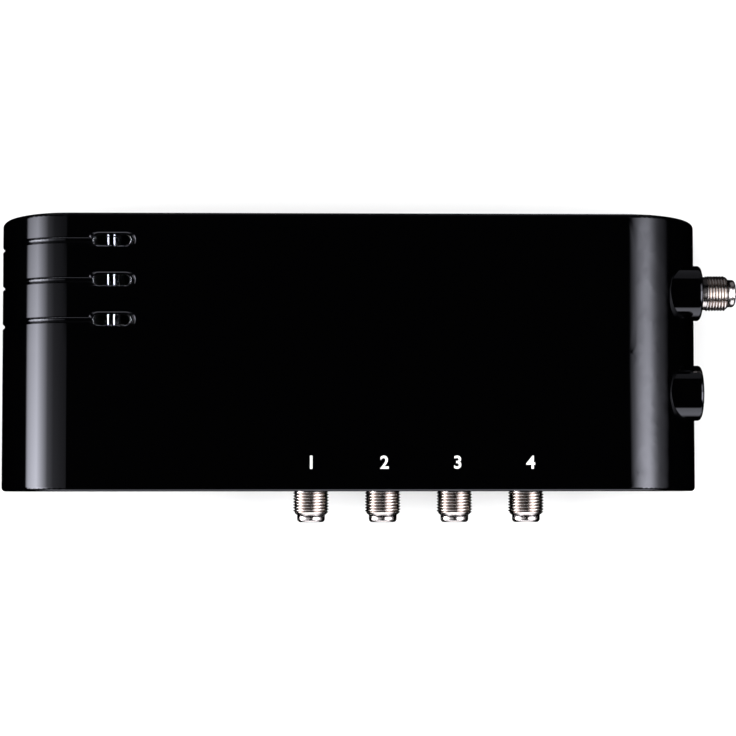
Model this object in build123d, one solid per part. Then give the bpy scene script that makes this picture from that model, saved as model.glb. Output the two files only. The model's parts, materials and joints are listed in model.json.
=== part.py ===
# A four-way television amplifier and power unit in a gloss black case.
# Millimetres. +X is the end with the antenna port, -Y the side with the four outputs, +Z up.
# The origin is the middle of the case's footprint, on the surface that the feet stand on.

import os
from math import asin, degrees

from build123d import *

os.makedirs("parts", exist_ok=True)

# Case
case_length = 193.0
case_width = 74.0
case_height = 37.0
wall = 2.2
left_curve_length = 21.0
right_curve_length = 22.8
edge_round = 1.1
seam_gap = 0.15
overrun = 1.0
tiny = 0.01

# Tray lip that locates the cover
lip_height = 2.5
lip_thickness = 1.0

# Feet
foot_radius = 5.0
foot_thickness = 2.0
foot_proud = 1.0
foot_chamfer = 0.4
foot_fit = 0.05
foot_inset_x = 24.0
foot_inset_y = 10.0

# Wall-hanging keyholes in the tray floor
keyhole_spacing = 100.0
keyhole_entry_radius = 3.75
keyhole_neck_radius = 2.0
keyhole_drop = 6.0

# Ports: heights, pitches and places
port_drop = 13.9
output_count = 4
output_pitch = 19.4
output_group_inset = 78.2
antenna_y_share = 0.227
power_y_share = -0.1405
tab_antenna_margin = 11.6
tab_power_margin = 10.6
tab_rise = 3.0

# Round bosses on the antenna end
boss_radius = 7.5
boss_tip_inset = 1.0
boss_length = 10.0
boss_dome = 0.5
boss_rim_round = 0.9
boss_notch_round = 0.3

# Screw-on coaxial ports
thread_radius = 4.75
thread_pitch = 0.794
groove_opening = 0.44
groove_depth = 0.38
shank_radius = 4.5
port_hole_clearance = 0.5
thread_standoff = 0.3
output_thread_turns = 8
antenna_thread_turns = 9
nose_radius = 3.75
nose_length = 2.1
nose_round = 0.9
block_width = 11.0
block_length = 9.0
block_top = 5.0
block_wall_gap = 0.4
port_axis_rise = 5.6
insulator_radius = 2.6
insulator_recess = 0.4
insulator_hole_radius = 0.6
contact_radius = 1.0
contact_recess = 1.2
contact_pin_radius = 0.4
pin_sleeve_radius = 1.2
block_leg_radius = 0.5
block_leg_inset = 1.4
leg_fit = 0.15
leg_proud = 1.2

# Indicator windows and the grooves that run from them
window_count = 3
window_inset_x = 11.9
window_inset_y = 7.4
window_pitch = 10.6
pocket_length = 12.5
pocket_width = 4.3
pocket_depth = 0.6
lens_length = 10.4
lens_width = 3.1
lens_fit = 0.1
lens_proud = 0.1
lens_round = 0.35
lens_flange = 0.9
lens_flange_thickness = 1.0
trace_radius = 0.95
trace_depth = 0.6

# Indicator lamps
lamp_shift = -0.25
lamp_length = 3.4
lamp_width = 3.6
lamp_height = 5.0
lamp_gap = 0.3
blade_thickness = 0.6
blade_width = 2.9
blade_spacing = 1.76
blade_cover = 1.2
blade_drop = 0.8
lamp_leg = 0.5
lamp_leg_hole_radius = 0.5
spacer_length = 4.2
spacer_width = 4.6

# Main board
board_end_gap = 11.5
board_side_gap = 2.6
board_thickness = 1.6
board_notch_gap = 0.8
board_seam_drop = 6.9

# Screws and the posts that take them
screw_radius = 1.45
screw_hole_radius = 1.7
pilot_radius = 1.5
screw_head_radius = 2.8
screw_head_height = 1.8
screw_drive_radius = 1.1
screw_drive_depth = 1.0
board_screw_length = 8.0
board_post_radius = 3.5
case_screw_length = 16.0
case_post_radius = 3.2
case_post_inset_x = 12.5
case_post_inset_y = 6.0
case_stub_radius = 4.2
case_stub_height = 11.0
case_recess_radius = 3.2
case_recess_depth = 3.0

# Power inlet behind the lower boss
jack_length = 13.0
jack_width = 9.6
jack_top = 5.4
jack_nose_radius = 4.4
jack_nose_fit = 0.2
jack_nose_recess = 0.5
jack_bore_radius = 3.15
jack_bore_depth = 9.5
jack_pin_radius = 1.05
jack_pin_recess = 0.8
jack_pin_root = 5.0
jack_pin_round = 0.5
jack_spring_thickness = 0.4
jack_spring_width = 2.4
jack_spring_length = 8.0
jack_spring_inset = 2.0

# Screening can over the radio section
can_left_inset = 70.4
can_back_inset = 23.5
can_block_gap = 3.8
can_sink_gap = 2.1
can_height = 8.0
can_sheet = 0.4
can_lid_skirt = 2.0
can_lid_fit = 0.1
can_hole_radius = 1.2
can_hole_pitch = 8.0

# Radio parts
chip_length = 6.5
chip_width = 5.3
chip_height = 1.75
chip_leg = 0.5
chip_leg_reach = 1.0
chip_leg_count = 4
chip_leg_pitch = 1.27
core_length = 7.0
core_width = 5.0
core_height = 3.4
core_hole_radius = 0.9

# Supply parts
sink_inset = 24.5
regulator_width = 10.0
regulator_thickness = 4.5
regulator_body_height = 9.0
regulator_tab_thickness = 1.3
regulator_tab_height = 6.4
regulator_leg = 0.7
regulator_leg_pitch = 2.54
regulator_rise = 1.0
sink_length = 24.0
sink_plate = 2.0
sink_height = 15.5
sink_fin = 1.2
sink_fin_reach = 7.0
sink_fin_count = 6
sink_screw_length = 5.0
sink_screw_drop = 2.9
large_can_radius = 5.0
large_can_height = 15.0
small_can_radius = 4.0
small_can_height = 11.5
small_can_inset = 27.2
can_leg_radius = 0.3
can_leg_spacing = 3.5
can_edge_round = 0.7
can_neck_depth = 0.5
can_neck_rise = 1.6
inductor_width = 12.0
inductor_height = 7.0
inductor_round = 2.0
inductor_drum_radius = 4.6
inductor_drum_depth = 0.6
chip_part_length = 2.0
chip_part_width = 1.25
capacitor_rise = 1.1
resistor_rise = 0.6

# Where an edge is sampled to tell whether it runs round an arch
arch_sample_share = 0.3

# Places on the board, as shares of its length and width from its middle
board_post_shares = ((-0.44, -0.38), (-0.24, 0.41), (0.39, 0.41), (0.39, -0.41))
large_can_place_share = (-0.2, -0.25)
small_can_y_share = -0.33
inductor_place_share = (-0.22, 0.06)
supply_capacitor_shares = (
    (-0.32, -0.3),
    (-0.32, -0.16),
    (-0.29, 0.24),
    (-0.13, 0.3),
    (0.26, 0.36),
    (0.31, 0.24),
)
supply_resistor_shares = (
    (-0.31, 0.42),
    (-0.31, 0.26),
    (-0.31, 0.12),
    (-0.13, -0.1),
    (0.36, 0.28),
    (0.05, 0.3),
    (0.15, 0.3),
)

# Places inside the screening can, as shares of its length and width from its middle
chip_place_share = (0.16, 0.2)
core_place_shares = ((-0.33, -0.1), (-0.02, -0.18), (0.28, -0.18))
radio_capacitor_shares = ((-0.23, 0.29), (0.0, 0.33), (0.24, 0.05), (0.39, 0.29))
radio_resistor_shares = ((-0.43, 0.2), (-0.12, 0.12), (0.1, -0.03))

# Levels and shared places worked out from the sizes above
underside_z = foot_proud
top_z = underside_z + case_height
ceiling_z = top_z - wall
floor_z = underside_z + wall
port_z = top_z - port_drop
board_top_z = port_z - port_axis_rise
board_low_z = board_top_z - board_thickness
split_z = board_low_z - board_seam_drop
left_curve_x = left_curve_length - case_length / 2
right_curve_x = case_length / 2 - right_curve_length
front_y = -case_width / 2
antenna_y = antenna_y_share * case_width
power_y = power_y_share * case_width
tab_low_y = power_y - tab_power_margin
tab_high_y = antenna_y + tab_antenna_margin
boss_tip_x = case_length / 2 - boss_tip_inset
boss_root_x = boss_tip_x - boss_length
board_length = case_length - 2 * board_end_gap
board_width = case_width - 2 * board_side_gap
case_post_x = case_length / 2 - case_post_inset_x
case_post_y = case_width / 2 - case_post_inset_y
block_face_x = board_length / 2
block_face_y = front_y + wall + block_wall_gap
port_hole_radius = shank_radius + port_hole_clearance
lens_base_z = ceiling_z - lens_flange_thickness
lamp_top_z = lens_base_z - lamp_gap
lamp_low_z = lamp_top_z - lamp_height
window_x = left_curve_x + window_inset_x
window_places = [case_width / 2 - window_inset_y - i * window_pitch for i in range(window_count)]
lamp_x = window_x + lamp_shift
leg_low_z = board_low_z - leg_proud
first_output_x = case_length / 2 - output_group_inset - (output_count - 1) * output_pitch / 2
output_places = [first_output_x + i * output_pitch for i in range(output_count)]
corners = [(x, y) for x in (-1, 1) for y in (-1, 1)]


def span_box(x_low, x_high, y_low, y_high, z_low, z_high):
    """A box between two corners."""
    low = (Align.MIN, Align.MIN, Align.MIN)
    return Pos(x_low, y_low, z_low) * Box(x_high - x_low, y_high - y_low, z_high - z_low, align=low)


def upright(radius, x, y, z_low, z_high):
    """A cylinder that stands on z_low."""
    base = (Align.CENTER, Align.CENTER, Align.MIN)
    return Pos(x, y, z_low) * Cylinder(radius, z_high - z_low, align=base)


def along_x(radius, x_low, x_high, y, z):
    """A cylinder that lies along X."""
    middle = (x_low + x_high) / 2
    return Pos(middle, y, z) * Rot(0, 90, 0) * Cylinder(radius, x_high - x_low)


def pill(length, width, x, y, z_low, z_high):
    """An upright block with half-round ends."""
    flat = Pos(x, y, z_low) * SlotOverall(length, width)
    return extrude(flat, amount=z_high - z_low, dir=(0, 0, 1))


def on_board(share):
    """The place on the board that a pair of shares names."""
    return share[0] * board_length, share[1] * board_width


def block_round(x, y, length, width, z_low, z_high):
    """A block centred on a place."""
    return span_box(x - length / 2, x + length / 2, y - width / 2, y + width / 2, z_low, z_high)


# Case


def case_block(inset):
    """The case's outer block, drawn in by inset on every side but the underside."""
    rise = case_height - inset
    right_run = right_curve_length - inset
    left_run = left_curve_length - inset
    right = EllipticalCenterArc((right_curve_x, underside_z), right_run, rise, 0, arc_size=90)
    left = EllipticalCenterArc((left_curve_x, underside_z), left_run, rise, 90, arc_size=90)
    top = Line(right @ 1, left @ 0)
    base = Line(left @ 1, right @ 0)
    outline = make_face([right, top, left, base])
    return extrude(Plane.XZ * outline, amount=case_width / 2 - inset, both=True)


def is_side_edge(edge):
    """True for an edge round either long side, but not along the underside."""
    place = edge.center()
    return abs(abs(place.Y) - case_width / 2) < tiny and place.Z > underside_z + tiny


def trace_cutter(y):
    """The tool for one round-bottomed groove, from its window along the top and down the left end."""
    lift = trace_radius - trace_depth
    start_x = window_x - lens_length / 2
    run = Line((start_x, top_z + lift), (left_curve_x, top_z + lift))
    length = left_curve_length + lift
    height = case_height + lift
    bend = EllipticalCenterArc((left_curve_x, underside_z), length, height, 90, arc_size=90)
    down = Line(bend @ 1, (-case_length / 2 - lift, underside_z - overrun))
    path = Pos(0, y, 0) * (Plane.XZ * (run + bend + down))
    section = Plane(origin=path @ 0, z_dir=path % 0) * Circle(trace_radius)
    return sweep(section, path=path)


def outer_form():
    """The whole case as one block, with its rounded edges and grooves."""
    block = case_block(0)
    block = fillet(block.edges().filter_by(is_side_edge), edge_round)
    for y in window_places:
        block -= trace_cutter(y)
    return block


def tab_zone(gap):
    """The stretch of the right end wall that belongs to the tray, widened by gap."""
    z_high = port_z + tab_rise + gap
    return span_box(right_curve_x, case_length, tab_low_y - gap, tab_high_y + gap, 0, z_high)


def boss(y, hole_radius):
    """One whole round boss with a slightly domed end, a rounded rim and a hole."""
    dome_radius = (boss_radius**2 + boss_dome**2) / (2 * boss_dome)
    spread = degrees(asin(boss_radius / dome_radius))
    dome = CenterArc((boss_tip_x - dome_radius, 0), dome_radius, 0, spread)
    side = Line(dome @ 1, (boss_root_x, boss_radius))
    back = Line(side @ 1, (boss_root_x, 0))
    axis = Line(back @ 1, dome @ 0)
    half = make_face([dome, side, back, axis])
    rim = half.vertices().sort_by(Axis.Y)[-2:].sort_by(Axis.X)[-1]
    half = fillet(rim, boss_rim_round)
    return Pos(0, y, port_z) * revolve(Plane.XZ * half, Axis.X) - boss_hole(y, hole_radius)


def boss_hole(y, radius):
    """The bore through a boss and the wall behind it."""
    return along_x(radius, right_curve_x, case_length, y, port_z)


def boss_notch(y):
    """The arch in the cover that a boss stands in."""
    return along_x(boss_radius + seam_gap, boss_root_x - seam_gap, case_length, y, port_z)


def is_notch_rim(edge):
    """True for the outer edge of an arch in the cover, above the tab."""
    place = edge @ arch_sample_share
    reach = min(((place.Y - y) ** 2 + (place.Z - port_z) ** 2) ** (1 / 2) for y, _ in end_bosses)
    across = (place.X - right_curve_x) / right_curve_length
    up = (place.Z - underside_z) / case_height
    on_curve = abs(across**2 + up**2 - 1) < tiny
    return abs(reach - boss_radius - seam_gap) < tiny and on_curve


def above(z):
    return span_box(-case_length, case_length, -case_width, case_width, z, z + case_length)


def below(z):
    return span_box(-case_length, case_length, -case_width, case_width, z - case_length, z)


end_bosses = ((antenna_y, port_hole_radius), (power_y, jack_nose_radius + jack_nose_fit))


def window_cut(y):
    """The bevelled pocket and the slot for one lens."""
    floor_length = lens_length + 2 * lens_fit
    floor_width = lens_width + 2 * lens_fit
    rim = Pos(window_x, y, top_z) * SlotOverall(pocket_length, pocket_width)
    seat = Pos(window_x, y, top_z - pocket_depth) * SlotOverall(floor_length, floor_width)
    bevel = loft([seat, rim], ruled=True)
    return bevel + pill(floor_length, floor_width, window_x, y, ceiling_z - overrun, top_z - pocket_depth)


def make_top_cover(form, cavity):
    """The cover: top, walls down to the seam, arches for the two bosses and screw posts."""
    cover = form & above(split_z + seam_gap)
    posts = Part()
    for share in board_post_shares:
        x, y = on_board(share)
        posts += upright(board_post_radius, x, y, board_top_z, top_z)
    for sx, sy in corners:
        posts += upright(case_post_radius, sx * case_post_x, sy * case_post_y, case_stub_top_z, top_z)
    cover = cover - cavity + (posts & case_block(wall / 2))
    cover -= tab_zone(seam_gap)
    for y, _ in end_bosses:
        cover -= boss_notch(y)
    cover = fillet(cover.edges().filter_by(is_notch_rim), boss_notch_round)
    for x in output_places:
        hole = Pos(x, front_y, port_z) * Rot(90, 0, 0) * Cylinder(port_hole_radius, 4 * wall)
        cover -= hole
    for y in window_places:
        cover -= window_cut(y)
    for share in board_post_shares:
        x, y = on_board(share)
        cover -= upright(pilot_radius, x, y, board_top_z, board_top_z + board_screw_length)
    for sx, sy in corners:
        x = sx * case_post_x
        y = sy * case_post_y
        cover -= upright(pilot_radius, x, y, case_stub_top_z, case_screw_top_z + overrun)
    return cover


def keyhole(x):
    """An entry circle with a narrower slot that runs from it towards +Y."""
    low = underside_z - overrun
    high = floor_z + overrun
    entry = upright(keyhole_entry_radius, x, 0, low, high)
    slot = span_box(x - keyhole_neck_radius, x + keyhole_neck_radius, 0, keyhole_drop, low, high)
    return entry + slot + upright(keyhole_neck_radius, x, keyhole_drop, low, high)


def tray_lip():
    """The rim that stands up inside the cover's walls, open at the end tab and round the posts."""
    ring = case_block(wall + seam_gap) - case_block(wall + seam_gap + lip_thickness)
    ring &= above(floor_z) & below(split_z + lip_height)
    ring -= tab_zone(seam_gap) & above(split_z)
    for sx, sy in corners:
        gap = 2 * seam_gap
        ring -= upright(case_post_radius + gap, sx * case_post_x, sy * case_post_y, split_z, top_z)
    return ring


case_stub_top_z = underside_z + case_stub_height
case_seat_z = underside_z + case_recess_depth
case_screw_top_z = case_seat_z + case_screw_length
foot_places = [
    (sx * (case_length / 2 - foot_inset_x), sy * (case_width / 2 - foot_inset_y)) for sx, sy in corners
]


def make_base_tray(form, cavity):
    """The tray: floor, low walls, lip, screw stubs and the end tab with its two bosses."""
    tray = form & below(split_z)
    tray -= cavity & above(floor_z)
    tray += (form - cavity) & tab_zone(0) & above(split_z - tiny)
    tray += tray_lip()
    for sx, sy in corners:
        x = sx * case_post_x
        y = sy * case_post_y
        tray += upright(case_stub_radius, x, y, underside_z, case_stub_top_z) & case_block(wall + seam_gap)
    for y, hole_radius in end_bosses:
        tray += boss(y, hole_radius)
        tray -= boss_hole(y, hole_radius)
    for sx, sy in corners:
        x = sx * case_post_x
        y = sy * case_post_y
        tray -= upright(case_recess_radius, x, y, underside_z - overrun, case_seat_z)
        tray -= upright(screw_hole_radius, x, y, underside_z - overrun, case_stub_top_z + overrun)
    for x, y in foot_places:
        tray -= upright(foot_radius + foot_fit, x, y, underside_z - overrun, foot_thickness)
    for side in (-1, 1):
        tray -= keyhole(side * keyhole_spacing / 2)
    return tray


def make_feet():
    """Four rubber pads, seated in the tray's shallow pockets."""
    pads = []
    for x, y in foot_places:
        pad = upright(foot_radius, x, y, 0, foot_thickness)
        pads.append(chamfer(pad.edges().sort_by(Axis.Z)[0], foot_chamfer))
    return Compound(pads)


def screw(length, seat_z, x, y):
    """A pan-head screw that goes up from seat_z, with a round drive recess in its head."""
    body = upright(screw_head_radius, x, y, seat_z - screw_head_height, seat_z)
    body += upright(screw_radius, x, y, seat_z, seat_z + length)
    low = seat_z - screw_head_height
    return body - upright(screw_drive_radius, x, y, low - overrun, low + screw_drive_depth)


def make_board_screws():
    length = board_thickness + board_screw_length - overrun
    return Compound([screw(length, board_low_z, *on_board(share)) for share in board_post_shares])


def make_case_screws():
    places = [(sx * case_post_x, sy * case_post_y) for sx, sy in corners]
    return Compound([screw(case_screw_length, case_seat_z, x, y) for x, y in places])


# Coaxial ports, drawn along +X from the front of their block and then turned into place


def thread_length(turns):
    return turns * thread_pitch - groove_opening


def threaded_length(turns):
    """A threaded rod from zero along +X: one ring groove for each turn."""
    rod = along_x(thread_radius, 0, thread_length(turns), 0, 0)
    crest = thread_pitch - groove_opening
    for i in range(turns - 1):
        start = crest + i * thread_pitch
        mouth = (start, thread_radius + tiny)
        floor = (start + groove_opening / 2, thread_radius - groove_depth)
        end = (start + groove_opening, thread_radius + tiny)
        notch = Plane.XZ * make_face(Polyline(mouth, floor, end, mouth))
        rod -= revolve(notch, Axis.X)
    return rod


def block_leg_places():
    """Leg places under a port's block, in its own frame."""
    x_far = -block_length + block_leg_inset
    side = block_width / 2 - block_leg_inset
    return [(x, y) for x in (-block_leg_inset, x_far) for y in (-side, side)]


def port_body(shank, turns):
    """Nickelled body: block with legs, plain shank, thread and rounded nose, bored for its insulator."""
    half = block_width / 2
    body = span_box(-block_length, 0, -half, half, -port_axis_rise, block_top)
    body += along_x(shank_radius, -tiny, shank + tiny, 0, 0)
    body += Pos(shank, 0, 0) * threaded_length(turns)
    nose_start = shank + thread_length(turns)
    nose = along_x(nose_radius, nose_start - tiny, nose_start + nose_length, 0, 0)
    body += fillet(nose.edges().sort_by(Axis.X)[-1], nose_round)
    body -= along_x(insulator_radius, -block_length - overrun, nose_start + nose_length + overrun, 0, 0)
    body -= upright(pin_sleeve_radius, -block_length / 2, 0, -port_axis_rise - overrun, 0)
    for x, y in block_leg_places():
        body += upright(block_leg_radius, x, y, leg_low_z - port_z, -port_axis_rise + tiny)
    return body


def port_insulator(shank, turns):
    """White sleeve that fills the body's bore, with a small hole for the plug's centre wire."""
    end = shank + thread_length(turns) + nose_length - insulator_recess
    sleeve = along_x(insulator_radius, -block_length, end, 0, 0)
    sleeve += upright(pin_sleeve_radius, -block_length / 2, 0, -port_axis_rise, 0)
    contact_end = end - contact_recess
    sleeve -= along_x(insulator_hole_radius, contact_end - tiny, end + overrun, 0, 0)
    return sleeve - contact_envelope(contact_end)


def contact_envelope(end):
    """The space that the centre contact fills: a tube along the bore and a pin down to the board."""
    rod = along_x(contact_radius, -block_length / 2 - contact_radius, end, 0, 0)
    return rod + upright(contact_pin_radius, -block_length / 2, 0, leg_low_z - port_z, 0)


def port_contact(shank, turns):
    """Centre contact: a tube for the plug's wire, with its pin down to the board."""
    end = shank + thread_length(turns) + nose_length - insulator_recess - contact_recess
    bore = along_x(insulator_hole_radius, 0, end + overrun, 0, 0)
    return contact_envelope(end) - bore


def port_location(x, y, turn):
    return Pos(x, y, port_z) * Rot(0, 0, turn)


output_shank = block_face_y - front_y + thread_standoff
antenna_shank = boss_tip_x - block_face_x + thread_standoff
ports = {
    f"output_port_{i + 1}": (port_location(x, block_face_y, -90), output_shank, output_thread_turns)
    for i, x in enumerate(output_places)
}
ports["antenna_port"] = (port_location(block_face_x, antenna_y, 0), antenna_shank, antenna_thread_turns)


# Indicators


def make_lens(y):
    """Clear pill lens with a flange that seats under the cover's top."""
    lens = pill(lens_length, lens_width, window_x, y, lens_base_z, top_z + lens_proud)
    lens = fillet(lens.edges().group_by(Axis.Z)[-1], lens_round)
    flange_length = lens_length + 2 * lens_flange
    flange_width = lens_width + 2 * lens_flange
    return lens + pill(flange_length, flange_width, window_x, y, lens_base_z, ceiling_z)


def make_blades(y):
    """Two lead-frame blades inside a lamp, each with its leg down through the board."""
    blades = []
    low = lamp_low_z + blade_drop
    for side in (-1, 1):
        x = lamp_x + side * blade_spacing / 2
        blade = block_round(x, y, blade_thickness, blade_width, low, lamp_top_z - blade_cover)
        blades.append(blade + block_round(x, y, lamp_leg, lamp_leg, leg_low_z, low + tiny))
    return Compound(blades)


def make_lamp(y):
    """Clear lamp body round its two blades."""
    return block_round(lamp_x, y, lamp_length, lamp_width, lamp_low_z, lamp_top_z) - make_blades(y)


def make_spacer(y):
    """Black block that holds a lamp at the right height over the board."""
    block = block_round(lamp_x, y, spacer_length, spacer_width, board_top_z, lamp_low_z)
    for side in (-1, 1):
        x = lamp_x + side * blade_spacing / 2
        block -= upright(lamp_leg_hole_radius, x, y, board_top_z - overrun, lamp_low_z + overrun)
    return block


# Power inlet

jack_face_x = boss_tip_x - jack_nose_recess
jack_back_x = block_face_x - jack_length


def make_jack_pin():
    """Centre pin of the inlet, with a rounded tip."""
    tip_x = jack_face_x - jack_pin_recess
    pin = along_x(jack_pin_radius, jack_face_x - jack_bore_depth - jack_pin_root, tip_x, power_y, port_z)
    return fillet(pin.edges().sort_by(Axis.X)[-1], jack_pin_round)


def make_jack_spring():
    """Flat spring contact at the bottom of the bore, with a leg down to the board."""
    x_low = jack_face_x - jack_bore_depth - jack_spring_inset
    y_low = power_y - jack_spring_width / 2
    y_high = power_y + jack_spring_width / 2
    top = port_z - jack_bore_radius
    low = top - jack_spring_thickness
    strip = span_box(x_low, x_low + jack_spring_length, y_low, y_high, low, top)
    return strip + span_box(x_low, x_low + jack_spring_thickness, y_low, y_high, board_top_z, low + tiny)


def make_jack_housing():
    """Moulded body on the board with a round nose in the boss, bored for the plug."""
    half = jack_width / 2
    body = span_box(jack_back_x, block_face_x, power_y - half, power_y + half, board_top_z, port_z + jack_top)
    body += along_x(jack_nose_radius, block_face_x - tiny, jack_face_x, power_y, port_z)
    body -= along_x(jack_bore_radius, jack_face_x - jack_bore_depth, jack_face_x + overrun, power_y, port_z)
    return body - make_jack_pin() - make_jack_spring()


# Screening can and radio parts

sink_x = board_length / 2 - sink_inset
can_x_low = -board_length / 2 + can_left_inset
can_x_high = sink_x - sink_fin_reach - can_sink_gap
can_y_low = block_face_y + block_length + can_block_gap
can_y_high = board_width / 2 - can_back_inset
can_length = can_x_high - can_x_low
can_width = can_y_high - can_y_low
can_x = (can_x_low + can_x_high) / 2
can_y = (can_y_low + can_y_high) / 2


def in_can(share):
    """The place inside the screening can that a pair of shares names."""
    return can_x + share[0] * can_length, can_y + share[1] * can_width


def can_block(growth, z_low, z_high):
    """The can's outline, drawn out by growth on every side."""
    return block_round(can_x, can_y, can_length + 2 * growth, can_width + 2 * growth, z_low, z_high)


def make_can_frame():
    """Sheet fence round the radio section."""
    high = board_top_z + can_height
    return can_block(0, board_top_z, high) - can_block(-can_sheet, board_top_z - overrun, high + overrun)


def make_can_lid():
    """Pressed lid that caps the fence, with a skirt outside it and a row of holes."""
    low = board_top_z + can_height
    high = low + can_sheet
    lid = can_block(can_lid_fit + can_sheet, low - can_lid_skirt, high)
    lid -= can_block(can_lid_fit, low - can_lid_skirt, low)
    count = int(can_length / can_hole_pitch)
    for i in range(count):
        x = can_x + (i - (count - 1) / 2) * can_hole_pitch
        lid -= upright(can_hole_radius, x, can_y, low - overrun, high + overrun)
    return lid


def make_amplifier_chip():
    """Moulded amplifier with four gull-wing legs a side."""
    x, y = in_can(chip_place_share)
    body = block_round(x, y, chip_length, chip_width, board_top_z + chip_leg / 2, board_top_z + chip_height)
    leg_span = chip_width + 2 * chip_leg_reach
    for i in range(chip_leg_count):
        leg_x = x + (i - (chip_leg_count - 1) / 2) * chip_leg_pitch
        body += block_round(leg_x, y, chip_leg, leg_span, board_top_z, board_top_z + chip_leg)
    return body


def make_splitter_core(share):
    """Ferrite block with two holes, as used in a signal splitter."""
    x, y = in_can(share)
    block = block_round(x, y, core_length, core_width, board_top_z, board_top_z + core_height)
    for side in (-1, 1):
        middle = Pos(x + side * core_length / 4, y, board_top_z + core_height / 2)
        block -= middle * Rot(90, 0, 0) * Cylinder(core_hole_radius, core_width + overrun)
    return block


# Supply parts

regulator_low_z = board_top_z + regulator_rise
regulator_body_z = regulator_low_z + regulator_body_height
regulator_tab_z = regulator_body_z + regulator_tab_height
sink_screw_z = regulator_tab_z - sink_screw_drop


def make_heat_sink():
    """Upright plate with fins on the side away from the regulator."""
    half = sink_length / 2
    high = board_top_z + sink_height
    sink = span_box(sink_x, sink_x + sink_plate, -half, half, board_top_z, high)
    step = (sink_length - sink_fin) / (sink_fin_count - 1)
    for i in range(sink_fin_count):
        y = i * step - half
        sink += span_box(sink_x - sink_fin_reach, sink_x + tiny, y, y + sink_fin, board_top_z, high)
    return sink - along_x(pilot_radius, sink_x - overrun, sink_x + sink_plate + overrun, 0, sink_screw_z)


def make_regulator():
    """Tabbed regulator that stands against the heat sink on three legs."""
    face = sink_x + sink_plate
    half = regulator_width / 2
    low = regulator_low_z
    part = span_box(face, face + regulator_thickness, -half, half, low, regulator_body_z)
    part += span_box(face, face + regulator_tab_thickness, -half, half, low, regulator_tab_z)
    part -= along_x(screw_hole_radius, face - overrun, face + regulator_thickness, 0, sink_screw_z)
    for x, y in regulator_leg_places():
        part += block_round(x, y, regulator_leg, regulator_leg, leg_low_z, low + tiny)
    return part


def regulator_leg_places():
    x = sink_x + sink_plate + regulator_thickness / 2
    return [(x, i * regulator_leg_pitch) for i in (-1, 0, 1)]


def make_sink_screw():
    """Short screw that clamps the regulator's tab to the heat sink."""
    seat = sink_x + sink_plate + regulator_tab_thickness
    head_end = seat + screw_head_height
    body = along_x(screw_radius, seat - sink_screw_length, seat, 0, sink_screw_z)
    body += along_x(screw_head_radius, seat, head_end, 0, sink_screw_z)
    drive_start = head_end - screw_drive_depth
    return body - along_x(screw_drive_radius, drive_start, head_end + overrun, 0, sink_screw_z)


large_can_place = on_board(large_can_place_share)
small_can_place = (board_length / 2 - small_can_inset, small_can_y_share * board_width)


def can_leg_places(place):
    x, y = place
    return [(x + side * can_leg_spacing / 2, y) for side in (-1, 1)]


def make_capacitor_can(place, radius, height):
    """Radial capacitor: crimped can with a rounded top and two legs."""
    x, y = place
    body = upright(radius, x, y, board_top_z, board_top_z + height)
    body = fillet(body.edges().sort_by(Axis.Z)[-1], can_edge_round)
    neck_z = board_top_z + can_neck_rise
    ring = upright(radius + overrun, x, y, neck_z, neck_z + can_neck_depth)
    body -= ring - upright(radius - can_neck_depth, x, y, neck_z, neck_z + can_neck_depth)
    for leg_x, leg_y in can_leg_places(place):
        body += upright(can_leg_radius, leg_x, leg_y, leg_low_z, board_top_z + tiny)
    return body


def make_inductor():
    """Screened power inductor: square ferrite block with the drum's face showing on top."""
    x, y = on_board(inductor_place_share)
    high = board_top_z + inductor_height
    block = block_round(x, y, inductor_width, inductor_width, board_top_z, high)
    block = fillet(block.edges().filter_by(Axis.Z), inductor_round)
    return block - upright(inductor_drum_radius, x, y, high - inductor_drum_depth, high + overrun)


def make_chip_parts(supply_shares, radio_shares, height):
    """A group of like surface-mounted parts, on the open board and inside the can."""
    places = [on_board(share) for share in supply_shares] + [in_can(share) for share in radio_shares]
    size = (chip_part_length, chip_part_width)
    return Compound([block_round(*place, *size, board_top_z, board_top_z + height) for place in places])


# Board


def board_holes():
    """Every hole in the board as x, y and radius."""
    holes = [(*on_board(share), screw_hole_radius) for share in board_post_shares]
    for place, _, _ in ports.values():
        for x, y in [*block_leg_places(), (-block_length / 2, 0)]:
            spot = (place * Pos(x, y, 0)).position
            holes.append((spot.X, spot.Y, block_leg_radius + leg_fit))
    for y in window_places:
        for side in (-1, 1):
            holes.append((lamp_x + side * blade_spacing / 2, y, lamp_leg_hole_radius))
    for place in (large_can_place, small_can_place):
        for x, y in can_leg_places(place):
            holes.append((x, y, can_leg_radius + leg_fit))
    for x, y in regulator_leg_places():
        holes.append((x, y, regulator_leg))
    return holes


def make_board():
    """Main board with notched corners that clear the case posts, and every part's holes."""
    half_x = board_length / 2
    half_y = board_width / 2
    board = span_box(-half_x, half_x, -half_y, half_y, board_low_z, board_top_z)
    notch_x = half_x - case_post_x + case_stub_radius + board_notch_gap
    notch_y = half_y - case_post_y + case_stub_radius + board_notch_gap
    for sx, sy in corners:
        notch = Box(2 * notch_x, 2 * notch_y, 4 * board_thickness)
        board -= Pos(sx * half_x, sy * half_y, board_top_z) * notch
    for x, y, radius in board_holes():
        board -= upright(radius, x, y, board_low_z - overrun, board_top_z + overrun)
    return board


# Assembly

form = outer_form()
cavity = case_block(wall)

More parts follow.
